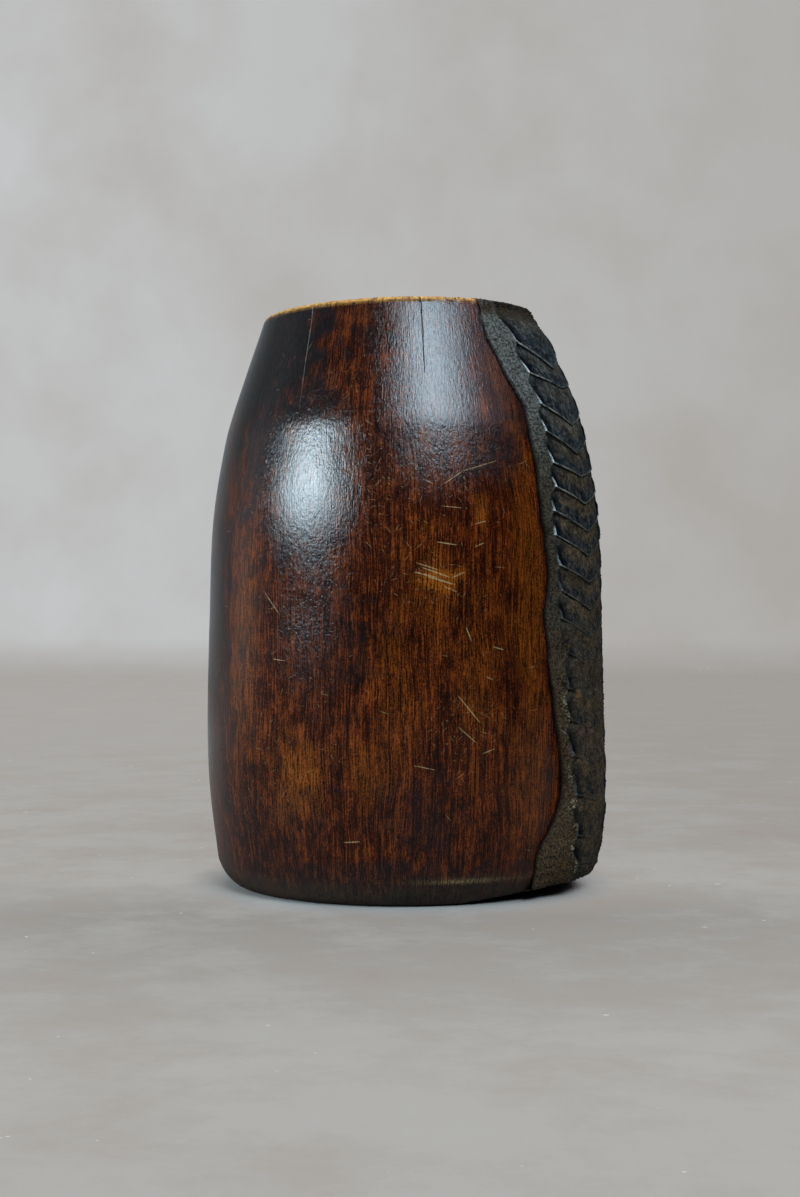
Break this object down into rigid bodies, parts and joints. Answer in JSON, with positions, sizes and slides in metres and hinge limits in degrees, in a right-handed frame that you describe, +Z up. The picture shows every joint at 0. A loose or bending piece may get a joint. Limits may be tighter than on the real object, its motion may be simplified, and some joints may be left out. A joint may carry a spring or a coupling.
{
  "type": "milk container",
  "caption": "Round carved wooden milk vessel, open at the top, with one upright band of dark resin cut into overlapping V-shaped shingles.",
  "frame": {"origin": "centre of the flat underside, on the vessel's axis", "axes": "+Z up along the vessel's axis, +X from the axis to the middle of the resin band"},
  "size_m": [0.1488, 0.1444, 0.2113],
  "materials": {
    "oiled_dark_wood": "dense dark red-brown wood, hand polished by use, with black patina, worn orange patches and scratches",
    "gritty_resin": "dark grey-green natural resin or pitch with grit, dull and granular, with glossy dark pockets"
  },
  "bodies": {
    "root": {"wooden_vessel": "oiled_dark_wood", "resin_band": "gritty_resin"}
  },
  "joints": []
}
